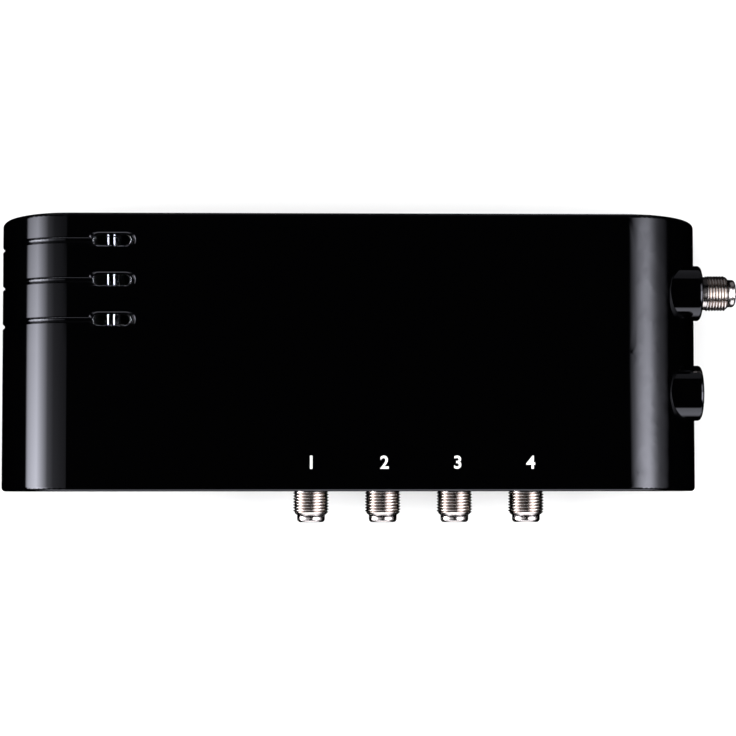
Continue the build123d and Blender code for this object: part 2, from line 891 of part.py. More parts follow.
pieces = {
    "top_cover": make_top_cover(form, cavity),
    "base_tray": make_base_tray(form, cavity),
    "rubber_feet": make_feet(),
    "case_screws": make_case_screws(),
    "board_screws": make_board_screws(),
    "main_board": make_board(),
    "power_jack_housing": make_jack_housing(),
    "power_jack_pin": make_jack_pin(),
    "power_jack_spring": make_jack_spring(),
    "shield_frame": make_can_frame(),
    "shield_lid": make_can_lid(),
    "amplifier_chip": make_amplifier_chip(),
    "heat_sink": make_heat_sink(),
    "regulator": make_regulator(),
    "heat_sink_screw": make_sink_screw(),
    "storage_capacitor": make_capacitor_can(large_can_place, large_can_radius, large_can_height),
    "output_capacitor": make_capacitor_can(small_can_place, small_can_radius, small_can_height),
    "filter_inductor": make_inductor(),
    "chip_capacitors": make_chip_parts(supply_capacitor_shares, radio_capacitor_shares, capacitor_rise),
    "chip_resistors": make_chip_parts(supply_resistor_shares, radio_resistor_shares, resistor_rise),
}
for i, share in enumerate(core_place_shares):
    pieces[f"splitter_core_{i + 1}"] = make_splitter_core(share)
for i, y in enumerate(window_places):
    pieces[f"indicator_lens_{i + 1}"] = make_lens(y)
    pieces[f"lamp_body_{i + 1}"] = make_lamp(y)
    pieces[f"lamp_blades_{i + 1}"] = make_blades(y)
    pieces[f"lamp_spacer_{i + 1}"] = make_spacer(y)
for name, (place, shank, turns) in ports.items():
    pieces[f"{name}_body"] = place * port_body(shank, turns)
    pieces[f"{name}_insulator"] = place * port_insulator(shank, turns)
    pieces[f"{name}_contact"] = place * port_contact(shank, turns)

for name, shape in pieces.items():
    export_step(shape, f"parts/{name}.step")
    print(name, len(shape.solids()), round(shape.volume))
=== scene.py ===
# %% [markdown]
# A four-way television amplifier in gloss black.
# The real object is a flat injection-moulded box with two curved ends, three clear indicator windows,
# five nickel-plated screw-on coaxial ports and two round bosses on its right-hand end.
# This notebook dresses its engineering model. It loads the fixed parts, rebuilds those whose shape
# carries the look, gives every part a procedural finish, and lights them for a near-overhead camera.

# %% Load the fixed frame
import json
import math

import bmesh
import bpy
from mathutils import Matrix, Vector

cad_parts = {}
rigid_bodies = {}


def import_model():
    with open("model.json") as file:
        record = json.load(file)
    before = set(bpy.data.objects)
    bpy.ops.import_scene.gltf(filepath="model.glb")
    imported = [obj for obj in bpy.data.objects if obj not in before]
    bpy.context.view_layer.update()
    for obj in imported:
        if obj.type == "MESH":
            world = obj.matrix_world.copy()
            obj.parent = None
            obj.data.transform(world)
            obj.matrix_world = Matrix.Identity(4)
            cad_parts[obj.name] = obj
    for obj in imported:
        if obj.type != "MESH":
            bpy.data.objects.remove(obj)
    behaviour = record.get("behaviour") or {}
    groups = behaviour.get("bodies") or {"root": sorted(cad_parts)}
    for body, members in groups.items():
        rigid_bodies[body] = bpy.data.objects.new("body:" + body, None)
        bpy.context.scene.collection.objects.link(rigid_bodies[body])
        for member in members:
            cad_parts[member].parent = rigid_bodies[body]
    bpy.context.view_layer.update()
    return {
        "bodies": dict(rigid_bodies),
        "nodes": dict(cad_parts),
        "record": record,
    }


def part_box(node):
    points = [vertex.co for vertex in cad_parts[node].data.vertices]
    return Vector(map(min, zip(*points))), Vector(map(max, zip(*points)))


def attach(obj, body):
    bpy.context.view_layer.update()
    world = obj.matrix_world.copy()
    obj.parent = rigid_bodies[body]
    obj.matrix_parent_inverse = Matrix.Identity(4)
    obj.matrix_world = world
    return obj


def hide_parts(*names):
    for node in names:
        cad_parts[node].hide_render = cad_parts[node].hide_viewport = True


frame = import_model()

# %% [markdown]
# Blender counts in metres, so a named millimetre keeps small sizes readable. Every size could be typed
# in, but each is read from the loaded parts where it can be, so that what is built here meets what
# carries it.

# %% Sizes read from the frame
mm = 0.001
body_name = next(iter(frame["bodies"]))
cover_low, cover_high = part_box("top_cover")
tray_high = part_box("base_tray")[1]
top_z = cover_high.z
lens_boxes = [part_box(f"indicator_lens_{i}") for i in (1, 2, 3)]
print("cover, mm:", [round(v / mm, 2) for v in cover_high - cover_low])

# %% [markdown]
# Every finish is a small node tree. It could be drawn by hand in the shader editor, but helpers make each
# one the same way every time. One makes the shader and sets its constants on its own sockets. Others let
# gloss or colour wander a little, as on any moulded or plated surface.
# The case comes first. It is moulded in ABS against a polished tool, so it is almost a black mirror: what
# shows is what it reflects. Its own colour is near black, and only its gloss wanders.


# %% Polished black for the case
def new_material(name, color, roughness, metallic=0.0, **more):
    """A Principled material. Extra keywords are socket names with underscores for spaces."""
    made = bpy.data.materials.new(name)
    made.use_nodes = True
    shader = made.node_tree.nodes["Principled BSDF"]
    shader.inputs["Base Color"].default_value = (*color, 1.0)
    shader.inputs["Roughness"].default_value = roughness
    shader.inputs["Metallic"].default_value = metallic
    for key, value in more.items():
        shader.inputs[key.replace("_", " ")].default_value = value
    return made


def feed(tree, socket, value):
    """Link a socket from another one, or put a number or a colour on it."""
    if isinstance(value, bpy.types.NodeSocket):
        tree.links.new(value, socket)
    else:
        socket.default_value = value


def add_node(tree, kind, settings=None, **sockets):
    """A node with its settings, and its inputs as numbers, colours or links."""
    node = tree.nodes.new(kind)
    for key, value in (settings or {}).items():
        setattr(node, key, value)
    for key, value in sockets.items():
        feed(tree, node.inputs[key.replace("_", " ")], value)
    return node


def noise_on_object(tree, scale, detail=3.0):
    """Noise in the object's own metres."""
    place = add_node(tree, "ShaderNodeTexCoord").outputs["Object"]
    noise = add_node(tree, "ShaderNodeTexNoise", Vector=place, Scale=scale, Detail=detail)
    return noise.outputs["Fac"]


def vary_roughness(made, scale, low, high):
    """Let the roughness wander between two values."""
    tree = made.node_tree
    fac = noise_on_object(tree, scale)
    spread = add_node(tree, "ShaderNodeMapRange", Value=fac, To_Min=low, To_Max=high)
    tree.links.new(spread.outputs["Result"], tree.nodes["Principled BSDF"].inputs["Roughness"])


gloss_black = new_material("polished_black_abs", (0.0003, 0.0003, 0.0004), 0.05, IOR=1.5)
vary_roughness(gloss_black, 60.0, 0.03, 0.07)
print(gloss_black.name, "has", len(gloss_black.node_tree.nodes), "nodes")

# %% [markdown]
# The lenses are polycarbonate. A clear plastic needs transmission, which bends light as the real one does,
# and not transparency, which only lets it through. The feet, the insulators and the inner mouldings are
# duller. Their colour or gloss wanders in soft patches, and a fine bump gives the black ones a grain.


# %% Clear, satin and rubber finishes
patch_places = (0.35, 0.65)


def vary_color(made, scale, first, second):
    """Let the base colour wander between two colours."""
    tree = made.node_tree
    ramp = add_node(tree, "ShaderNodeValToRGB", Fac=noise_on_object(tree, scale))
    for element, place, color in zip(ramp.color_ramp.elements, patch_places, (first, second)):
        element.position = place
        element.color = (*color, 1.0)
    tree.links.new(ramp.outputs["Color"], tree.nodes["Principled BSDF"].inputs["Base Color"])


def add_bump(made, scale, strength, distance):
    """Fine relief from noise."""
    tree = made.node_tree
    height = noise_on_object(tree, scale)
    bump = add_node(tree, "ShaderNodeBump", Strength=strength, Distance=distance, Height=height)
    tree.links.new(bump.outputs["Normal"], tree.nodes["Principled BSDF"].inputs["Normal"])


clear_plastic = new_material(
    "clear_polycarbonate", (0.9, 0.92, 0.95), 0.02, IOR=1.49, Transmission_Weight=1.0
)
vary_roughness(clear_plastic, 300.0, 0.01, 0.035)
satin_black = new_material("satin_black_moulding", (0.012, 0.012, 0.012), 0.42)
vary_roughness(satin_black, 400.0, 0.36, 0.5)
add_bump(satin_black, 2500.0, 0.15, 0.05 * mm)
rubber = new_material("foot_rubber", (0.018, 0.018, 0.018), 0.8)
vary_color(rubber, 500.0, (0.012, 0.012, 0.012), (0.03, 0.03, 0.031))
add_bump(rubber, 3000.0, 0.3, 0.1 * mm)
white_sleeve = new_material("white_insulator", (0.8, 0.79, 0.74), 0.4)
vary_color(white_sleeve, 300.0, (0.76, 0.75, 0.7), (0.84, 0.83, 0.79))
print("moulded finishes:", [made.name for made in (clear_plastic, satin_black, rubber, white_sleeve)])

# %% [markdown]
# Bright nickel over brass is a warm metal. A metal tints what it mirrors, so the warmth is in its base
# colour. The roots of the threads get painted shade: their colour sinks toward brown where the groove is
# deep. A mask painted by hand could show where, but the tree that winds the thread knows how deep each
# point lies. It stores that as an attribute, and this material reads it.

# %% Nickel with painted shade in the thread roots
# The groove's depth, stored under this name, is the mask for painted shade in the thread roots.
painted_shade_attribute = "painted_root_shade"
# The painted shade colour that deep thread roots sink toward.
painted_shade_brown = (0.38, 0.315, 0.27, 1.0)
first_color_socket = 6
second_color_socket = 7
mixed_color_socket = 2


def mix_colors(tree, factor, first, second):
    """Mix two colours. The Mix node's sockets share their names, so its colours go by number."""
    node = add_node(tree, "ShaderNodeMix", {"data_type": "RGBA"}, Factor=factor)
    feed(tree, node.inputs[first_color_socket], first)
    feed(tree, node.inputs[second_color_socket], second)
    return node.outputs[mixed_color_socket]


def darken_grooves(made):
    """Paint shade: let the colour sink toward brown where a thread's groove is deep."""
    tree = made.node_tree
    socket = tree.nodes["Principled BSDF"].inputs["Base Color"]
    depth = add_node(tree, "ShaderNodeAttribute", {"attribute_name": painted_shade_attribute}).outputs["Fac"]
    mixed = mix_colors(tree, depth, socket.links[0].from_socket, painted_shade_brown)
    tree.links.new(mixed, socket)


nickel = new_material("bright_nickel_on_brass", (0.78, 0.72, 0.64), 0.2, 1.0)
vary_color(nickel, 900.0, (0.74, 0.68, 0.6), (0.82, 0.76, 0.68))
vary_roughness(nickel, 700.0, 0.16, 0.25)
# Painted shade in the thread roots.
darken_grooves(nickel)
print(nickel.name, "has", len(nickel.node_tree.nodes), "nodes")

# %% [markdown]
# The other metals need no mask. Contacts have a flash of gold. Screws are zinc plated, duller and
# patchy. The screening can is tinned sheet, and the heat sink is extruded aluminium with a dull skin.

# %% Other metals
gold = new_material("gold_flash", (0.83, 0.6, 0.25), 0.22, 1.0)
vary_roughness(gold, 700.0, 0.15, 0.3)
zinc = new_material("zinc_plate", (0.55, 0.55, 0.54), 0.32, 1.0)
vary_color(zinc, 800.0, (0.48, 0.48, 0.48), (0.6, 0.6, 0.59))
vary_roughness(zinc, 500.0, 0.25, 0.42)
tinned = new_material("tinned_sheet", (0.68, 0.68, 0.67), 0.25, 1.0)
vary_roughness(tinned, 250.0, 0.18, 0.34)
aluminium = new_material("extruded_aluminium", (0.5, 0.51, 0.53), 0.38, 1.0)
vary_roughness(aluminium, 400.0, 0.3, 0.48)
print("other metals:", [made.name for made in (gold, zinc, tinned, aluminium)])

# %% [markdown]
# The board and its parts sit inside the closed case. They could be left grey, but an opened or exploded
# view would show them, so they get plain finishes: green solder mask over glass cloth, black epoxy, tan
# ceramic, grey ferrite and a dark blue sleeve. These are their true colours, except that the solder mask
# is painted darker than its own green, as shade for the dark inside of the closed case.

# %% Finishes inside the case
# Painted shade: this green is darker than the solder mask's own, for the dark inside of the closed case.
laminate = new_material("green_solder_mask_painted_dark", (0.006, 0.035, 0.014), 0.3)
vary_color(laminate, 250.0, (0.004, 0.028, 0.01), (0.008, 0.045, 0.018))
epoxy = new_material("black_epoxy", (0.02, 0.02, 0.022), 0.55)
vary_roughness(epoxy, 900.0, 0.45, 0.65)
ceramic = new_material("tan_ceramic", (0.5, 0.36, 0.22), 0.35)
vary_color(ceramic, 1500.0, (0.44, 0.31, 0.18), (0.55, 0.41, 0.26))
ferrite = new_material("grey_ferrite", (0.06, 0.06, 0.065), 0.6)
vary_color(ferrite, 1200.0, (0.045, 0.045, 0.05), (0.09, 0.09, 0.095))
sleeve = new_material("dark_blue_sleeve", (0.02, 0.035, 0.12), 0.28)
vary_roughness(sleeve, 500.0, 0.22, 0.36)
print("inner finishes:", [made.name for made in (laminate, epoxy, ceramic, ferrite, sleeve)])

# %% [markdown]
# Each loaded part names the slot that its finish goes in. A table from slots to materials then dresses
# them all in one loop, and no part can be forgotten: a slot that the table lacks would stop the script.

# %% Give each part its finish
finishes = {
    "gloss_black_shell": gloss_black,
    "clear_lens": clear_plastic,
    "bright_nickel": nickel,
    "gold_contact": gold,
    "white_insulator": white_sleeve,
    "foot_rubber": rubber,
    "zinc_screw": zinc,
    "board_laminate": laminate,
    "black_moulding": satin_black,
    "tinned_steel": tinned,
    "chip_moulding": epoxy,
    "chip_ceramic": ceramic,
    "ferrite": ferrite,
    "finned_aluminium": aluminium,
    "capacitor_sleeve": sleeve,
}
for part in frame["record"]["subparts"]:
    mesh = frame["nodes"][part["node"]].data
    mesh.materials.clear()
    mesh.materials.append(finishes[part["material_slot"]])

# %% [markdown]
# The five screw-on ports carry the look of this product: a 3/8-32 thread, bright and crisp. A stack of
# grooved rings would be easier, but light runs along a real thread in a spiral, so each thread here is a
# true helix. Geometry Nodes wind it: a flat grid is rolled round the axis, and each row of the grid
# climbs by one pitch a turn. A row then keeps the same place in the thread's profile all along, so the
# crests stay sharp.

# %% Thread sizes
inch = 25.4 * mm
thread_radius = 4.75 * mm
thread_pitch = 0.794 * mm
thread_depth = 0.42 * mm
shank_radius = 4.5 * mm
lead_radius = 4.0 * mm
crest_share = 2 / 16
root_share = 7 / 16
fade_pitches = 0.2
around = 96
rows_per_turn = 16
thread_weld = 0.002 * mm
turns_an_inch = round(inch / thread_pitch)
print("thread:", round(2 * thread_radius / mm, 2), "mm across,", turns_an_inch, "turns an inch")

# %% [markdown]
# A Geometry Nodes tree could be drawn in its editor and saved, but a script keeps each node and number in
# sight. A tree needs a way in, with named inputs, and a way out, which realises what it made and gives it
# a material. The last helper hangs the tree on an empty mesh as a modifier, sets each input by its
# identifier, and keeps only the plain mesh that comes out.


# %% Helpers for Geometry Nodes
def calc(tree, operation, *values):
    """A Math node on numbers or sockets."""
    node = add_node(tree, "ShaderNodeMath", {"operation": operation})
    for socket, value in zip(node.inputs, values):
        feed(tree, socket, value)
    return node.outputs["Value"]


def new_tree(name, inputs):
    """A tree with named inputs, and the sockets that carry them in."""
    tree = bpy.data.node_groups.new(name, "GeometryNodeTree")
    for key, kind in inputs:
        tree.interface.new_socket(key, in_out="INPUT", socket_type="NodeSocket" + kind)
    tree.interface.new_socket("Geometry", in_out="OUTPUT", socket_type="NodeSocketGeometry")
    return tree, tree.nodes.new("NodeGroupInput").outputs


def close_tree(tree, geometry, material):
    """Realise what the tree made, give it its material and send it out."""
    real = add_node(tree, "GeometryNodeRealizeInstances", Geometry=geometry).outputs["Geometry"]
    painted = add_node(tree, "GeometryNodeSetMaterial", Geometry=real, Material=material)
    tree.links.new(painted.outputs["Geometry"], tree.nodes.new("NodeGroupOutput").inputs["Geometry"])


def grow(tree, values):
    """The plain mesh that a tree makes from these input values."""
    carrier = bpy.data.objects.new(tree.name, bpy.data.meshes.new(tree.name))
    bpy.context.scene.collection.objects.link(carrier)
    modifier = carrier.modifiers.new("tree", "NODES")
    modifier.node_group = tree
    for item in tree.interface.items_tree:
        if item.in_out == "INPUT":
            modifier[item.identifier] = values[item.name]
    evaluated = carrier.evaluated_get(bpy.context.evaluated_depsgraph_get())
    mesh = bpy.data.meshes.new_from_object(evaluated)
    carrier.modifiers.remove(modifier)
    bpy.data.objects.remove(carrier)
    return mesh


print("helpers for Geometry Nodes:", [helper.__name__ for helper in (calc, new_tree, close_tree, grow)])

# %% [markdown]
# The grid's two directions become the turn round the axis and the climb along it. The distance from the
# nearest crest, as a share of the pitch, says how deep a point lies. Points before the start are held at
# the case wall and points past the end at the nose, where doubles merge. The thread fades in from a
# plain shank and tapers off at the nose, so that a nut finds its way on.


# %% Tree that winds a thread
def thread_profile(tree, given, climb, height):
    """The radius at each point, and how deep in the groove it lies, from 0 on a crest to 1 at a root."""
    phase = calc(tree, "FRACT", calc(tree, "ADD", climb, 0.5))
    from_crest = calc(tree, "ABSOLUTE", calc(tree, "SUBTRACT", phase, 0.5))
    slope = {"From_Min": crest_share, "From_Max": root_share}
    groove = add_node(tree, "ShaderNodeMapRange", {"clamp": True}, Value=from_crest, **slope)
    groove = groove.outputs["Result"]
    cut = calc(tree, "MULTIPLY", groove, given["Depth"])
    radius = calc(tree, "SUBTRACT", given["Crest radius"], cut)
    fade_length = calc(tree, "MULTIPLY", given["Pitch"], fade_pitches)
    begun = calc(tree, "MINIMUM", calc(tree, "DIVIDE", height, fade_length), 1.0)
    grown = calc(tree, "SUBTRACT", radius, given["Start radius"])
    radius = calc(tree, "MULTIPLY_ADD", grown, begun, given["Start radius"])
    left = calc(tree, "SUBTRACT", given["Length"], height)
    radius = calc(tree, "MINIMUM", radius, calc(tree, "ADD", given["Lead radius"], left))
    return radius, groove


def wind_thread():
    """The tree: a grid rolled into a helix, with its groove's depth stored for the material's painted
    shade.
    """
    tree, given = new_tree("coaxial_thread", (
        ("Crest radius", "Float"), ("Depth", "Float"), ("Pitch", "Float"), ("Length", "Float"),
        ("Turns", "Int"), ("Start radius", "Float"), ("Lead radius", "Float"), ("Material", "Material"),
    ))
    rows = calc(tree, "MULTIPLY_ADD", given["Turns"], rows_per_turn, 1)
    counts = {"Vertices_X": around + 1, "Vertices_Y": rows}
    grid = add_node(tree, "GeometryNodeMeshGrid", Size_X=1.0, Size_Y=1.0, **counts)
    place = add_node(tree, "GeometryNodeInputPosition").outputs["Position"]
    flat = add_node(tree, "ShaderNodeSeparateXYZ", Vector=place).outputs
    turn = calc(tree, "ADD", flat["X"], 0.5)
    climb = calc(tree, "MULTIPLY_ADD", calc(tree, "ADD", flat["Y"], 0.5), given["Turns"], -1)
    raw = calc(tree, "MULTIPLY", calc(tree, "ADD", climb, turn), given["Pitch"])
    height = calc(tree, "MINIMUM", calc(tree, "MAXIMUM", raw, 0.0), given["Length"])
    radius, groove = thread_profile(tree, given, climb, height)
    angle = calc(tree, "MULTIPLY", turn, math.tau)
    x = calc(tree, "MULTIPLY", radius, calc(tree, "COSINE", angle))
    y = calc(tree, "MULTIPLY", radius, calc(tree, "SINE", angle))
    wound = add_node(tree, "ShaderNodeCombineXYZ", X=x, Y=y, Z=height).outputs["Vector"]
    # The groove's depth is stored as the mask for painted shade in the thread roots.
    marked = add_node(
        tree, "GeometryNodeStoreNamedAttribute", {"data_type": "FLOAT", "domain": "POINT"},
        Geometry=grid.outputs["Mesh"], Name=painted_shade_attribute, Value=groove,
    ).outputs["Geometry"]
    moved = add_node(tree, "GeometryNodeSetPosition", Geometry=marked, Position=wound).outputs["Geometry"]
    merged = add_node(tree, "GeometryNodeMergeByDistance", Geometry=moved, Distance=thread_weld)
    close_tree(tree, merged.outputs["Geometry"], given["Material"])
    return tree


thread_tree = wind_thread()
print("thread tree has", len(thread_tree.nodes), "nodes")

# %% [markdown]
# A port is turned from one bar, so the rest of it is a lathe profile spun round the same axis. A Screw
# modifier could spin it, but rings with the same number of steps as the thread meet the thread's first
# and last rings point by point, and merge with them. Most shapes below are such rows of rings, joined by
# faces, so a few helpers for rings serve them all.


# %% Helpers for rings of points
def circle(radius, count=around):
    """Pairs of coordinates round a circle."""
    angles = [math.tau * i / count for i in range(count)]
    return [(radius * math.cos(a), radius * math.sin(a)) for a in angles]


def add_rings(form, rows):
    """A ring of vertices for each row of points."""
    return [[form.verts.new(point) for point in row] for row in rows]


def bridge(form, rings, closed=False):
    """Faces between neighbouring rings, and from the last ring to the first where they are closed."""
    pairs = list(zip(rings, rings[1:]))
    if closed:
        pairs.append((rings[-1], rings[0]))
    for first, second in pairs:
        for i in range(len(first)):
            j = (i + 1) % len(first)
            form.faces.new((first[i], first[j], second[j], second[i]))


def bridge_and_cap(form, rings):
    """Faces between neighbouring rings, and one face over each end."""
    bridge(form, rings)
    form.faces.new(rings[0])
    form.faces.new(rings[-1])


def quarter_round(radius, height, size, steps=6):
    """Profile points of an outer edge rounded from the side to the end face."""
    points = []
    for i in range(steps + 1):
        angle = math.pi / 2 * i / steps
        points.append((radius - size + size * math.cos(angle), height - size + size * math.sin(angle)))
    return points


print("a circle has", len(circle(1.0)), "points, a rounded edge", len(quarter_round(1.0, 1.0, 0.5)))

# %% [markdown]
# Behind the case wall the bar ends in a square block, which stands on the board on four legs. A cube with
# a boolean hole would leave long thin faces round the bore. A square drawn as a superellipse has one
# point at each step of the lathe, so it joins the round bore with an even fan of quads.

# %% Block and legs of a port
bore_radius = 2.6 * mm
block_half = 5.5 * mm
block_drop = -5.6 * mm
block_rise = 5.0 * mm
block_chamfer = 0.3 * mm
corner_power = 14
leg_radius = 0.5 * mm
leg_sides = 12


def block_ring(half_x, half_y, height):
    """A square ring with soft corners between the block's lower and upper faces."""
    middle_y = (block_drop + block_rise) / 2
    points = []
    for i in range(around):
        angle = math.tau * i / around
        reach_x = abs(math.cos(angle) / half_x) ** corner_power
        reach_y = abs(math.sin(angle) / half_y) ** corner_power
        reach = (reach_x + reach_y) ** (-1 / corner_power)
        points.append((reach * math.cos(angle), reach * math.sin(angle) + middle_y, height))
    return points


def add_block(form, low, high):
    """The block between two heights on the axis, with chamfered ends and the bore through it."""
    half_y = (block_rise - block_drop) / 2
    rows = [
        block_ring(block_half - block_chamfer, half_y - block_chamfer, low),
        block_ring(block_half, half_y, low + block_chamfer),
        block_ring(block_half, half_y, high - block_chamfer),
        block_ring(block_half - block_chamfer, half_y - block_chamfer, high),
    ]
    for height in (high, low):
        rows.append([(x, y, height) for x, y in circle(bore_radius)])
    bridge(form, add_rings(form, rows), closed=True)


def add_leg(form, x, z, y_low, y_high):
    """A round leg along Y with a bevelled foot."""
    bevel = leg_radius / 2
    rows = []
    for y, radius in ((y_low, leg_radius - bevel), (y_low + bevel, leg_radius), (y_high, leg_radius)):
        rows.append([(x + across, y, z + along) for across, along in circle(radius, leg_sides)])
    bridge_and_cap(form, add_rings(form, rows))


print("block, mm:", round(2 * block_half / mm, 2), "by", round((block_rise - block_drop) / mm, 2))

# %% [markdown]
# A port's place comes from its insulator, whose round outline gives the axis, and from its body, whose
# far face gives the reach. The antenna port points to the right and the outputs point to the front, so
# each has its own turn from the lathe's upright axis.

# %% Where the ports stand
port_names = ["antenna_port"] + [f"output_port_{i}" for i in (1, 2, 3, 4)]
thread_standoff = 0.05 * mm


def port_axes(node):
    """A port's start on its case wall, its turn, its reach outwards and inwards, and its legs' foot."""
    low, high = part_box(node + "_insulator")
    body_low, body_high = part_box(node + "_body")
    if node == "antenna_port":
        radius = (high.y - low.y) / 2
        start = Vector((tray_high.x + thread_standoff, (low.y + high.y) / 2, high.z - radius))
        turned = Matrix(((0, 0, 1), (1, 0, 0), (0, 1, 0)))
        return start, turned, body_high.x - start.x, start.x - body_low.x, body_low.z
    radius = (high.x - low.x) / 2
    start = Vector(((low.x + high.x) / 2, cover_low.y - thread_standoff, high.z - radius))
    turned = Matrix(((1, 0, 0), (0, 0, -1), (0, 1, 0)))
    return start, turned, start.y - body_low.y, body_high.y - start.y, body_low.z


for port_name in port_names:
    print(port_name, "starts at, mm:", [round(v / mm, 1) for v in port_axes(port_name)[0]])

# %% [markdown]
# A finished piece is a plain mesh with its place in its points. Its doubles are merged first and its
# normals recalculated after, so that thread, nose and bore become one closed skin with its faces out.
# Smooth shading stops at sharp edges. The threads get a wide angle, because a narrow one would cut their
# flanks into flat facets.

# %% The five ports
piece_weld = 0.001 * mm
nose_radius = 3.75 * mm
nose_length = 2.1 * mm
nose_round = 0.9 * mm
bore_chamfer = 0.15 * mm
block_length = 9.0 * mm
leg_inset = 1.4 * mm
port_sharp_degrees = 70


def show_piece(name, form, material, slot, *nodes, sharp_degrees=35):
    """Turn a bmesh into a finished piece that rides on the body and may stand for nodes."""
    bmesh.ops.remove_doubles(form, verts=form.verts, dist=piece_weld)
    bmesh.ops.recalc_face_normals(form, faces=form.faces)
    mesh = bpy.data.meshes.new(name)
    form.to_mesh(mesh)
    form.free()
    mesh.shade_smooth()
    mesh.set_sharp_from_angle(angle=math.radians(sharp_degrees))
    mesh.materials.append(material)
    made = bpy.data.objects.new(name, mesh)
    bpy.context.scene.collection.objects.link(made)
    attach(made, body_name)
    if nodes:
        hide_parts(*nodes)
    print(name, "has", len(mesh.polygons), "faces")
    return made


def add_thread(form, length):
    """The wound thread, from the case wall to the nose."""
    thread = grow(thread_tree, {
        "Crest radius": thread_radius, "Depth": thread_depth, "Pitch": thread_pitch, "Length": length,
        "Turns": math.ceil(length / thread_pitch) + 2, "Start radius": shank_radius,
        "Lead radius": lead_radius, "Material": nickel,
    })
    form.from_mesh(thread)
    bpy.data.meshes.remove(thread)


def add_nose_and_bore(form, length, reach, root):
    """The lathe profile from the thread's end over the nose, down the bore and back to its start."""
    profile = [(lead_radius, length), (nose_radius, length + (lead_radius - nose_radius) / 2)]
    profile += quarter_round(nose_radius, reach, nose_round)
    profile += [(bore_radius + bore_chamfer, reach), (bore_radius, reach - bore_chamfer)]
    profile += [(bore_radius, root), (shank_radius, root), (shank_radius, 0)]
    rows = [[(x, y, height) for x, y in circle(radius)] for radius, height in profile]
    bridge(form, add_rings(form, rows))


def make_port(node):
    """One port as a single mesh, from its thread to its legs."""
    start, turned, reach, depth, leg_foot = port_axes(node)
    block_face = block_length - depth
    form = bmesh.new()
    add_thread(form, reach - nose_length)
    add_nose_and_bore(form, reach - nose_length, reach, block_face - leg_inset)
    add_block(form, -depth, block_face)
    for x in (leg_inset - block_half, block_half - leg_inset):
        for z in (leg_inset - depth, block_face - leg_inset):
            add_leg(form, x, z, leg_foot - start.z, block_drop + leg_radius)
    place = Matrix.Translation(start) @ turned.to_4x4()
    bmesh.ops.transform(form, matrix=place, verts=form.verts)
    name = node.replace("_port", "_threaded_port")
    show_piece(name, form, nickel, "bright_nickel", node + "_body", sharp_degrees=port_sharp_degrees)


for port_name in port_names:
    make_port(port_name)

# %% [markdown]
# Each window is a clear pill let into the cover over an indicator lamp. A black rim slopes gently down to
# a narrow moat, which catches a line of light on one side, and it dips where the moulded groove runs in.
# A bevelled pill could be cut with booleans, but the dip would tear it. Here the outline is built once,
# as offsets from the pill's edge, so every ring of a mesh follows one curve and can bend with the groove.

# %% Window outlines
pill_length = 10.4 * mm
pill_width = 3.1 * mm
half_round_steps = 24
rim_width = 0.58 * mm
moat_width = 0.1 * mm
moat_drop = 0.48 * mm
groove_radius = 0.95 * mm
groove_depth = 0.6 * mm


def pill_ring(offset):
    """Points round a pill that stands off from the lens's outline."""
    half_run = (pill_length - pill_width) / 2
    radius = pill_width / 2 + offset
    points = []
    for side in (1, -1):
        for i in range(half_round_steps + 1):
            angle = math.pi * (i / half_round_steps - 0.5)
            points.append((side * (half_run + radius * math.cos(angle)), side * radius * math.sin(angle)))
    return points


def level_ring(offset, z):
    """A pill's outline at one height."""
    return [(x, y, z) for x, y in pill_ring(offset)]


def groove_surface(y):
    """How far the moulded groove lies below the top at a distance from its middle line."""
    if abs(y) >= groove_radius:
        return 0.0
    return max(0.0, math.sqrt(groove_radius**2 - y**2) - groove_radius + groove_depth)


def rim_ring():
    """The rim's outer edge, drawn in where the groove is lower than the rim's slope."""
    points = []
    for (x, y), (near_x, near_y) in zip(pill_ring(rim_width), pill_ring(moat_width)):
        drop = groove_surface(y) if x < 0 else 0.0
        share = max(0.0, 1 - drop / moat_drop)
        edge_x = near_x + (x - near_x) * share
        edge_y = near_y + (y - near_y) * share
        points.append((edge_x, edge_y, moat_drop * (share - 1)))
    return points


print("a window's outline has", len(pill_ring(0.0)), "points")

# %% [markdown]
# A lens could be an empty shell, but light bends as it should only through a closed solid. So it has a
# rounded top edge and a flange below, which the cover's pocket holds from inside and the clear plastic
# shows. The rim is a thin ring of the case's own black. It has a thickness, so it is closed as well.

# %% The three windows
lens_play = 0.01 * mm
lens_sink = 0.06 * mm
lens_edge = 0.5 * mm
lens_deep = 3.2 * mm
flange_width = 0.85 * mm
flange_thickness = 0.95 * mm
cap_radius = 0.2 * mm
rim_thickness = 0.1 * mm
window_sharp_degrees = 25


def window_rings(form, middle, rows):
    """Rings of a window's outline, moved to the window's place."""
    return add_rings(form, [[middle + Vector(point) for point in row] for row in rows])


def make_lens(index, middle):
    """The clear pill, from the middle of its top, over its flange, to the middle of its underside."""
    centre_offset = cap_radius - pill_width / 2
    shoulder = flange_thickness - lens_deep
    rows = [level_ring(centre_offset, -lens_sink)]
    for offset, height in reversed(quarter_round(0.0, -lens_sink, lens_edge)):
        rows.append(level_ring(offset, height))
    rows += [level_ring(0.0, shoulder), level_ring(flange_width, shoulder)]
    rows += [level_ring(flange_width, -lens_deep), level_ring(centre_offset, -lens_deep)]
    form = bmesh.new()
    bridge_and_cap(form, window_rings(form, middle, rows))
    show_piece(f"window_lens_{index}", form, clear_plastic, "clear_lens", f"indicator_lens_{index}",
               sharp_degrees=window_sharp_degrees)


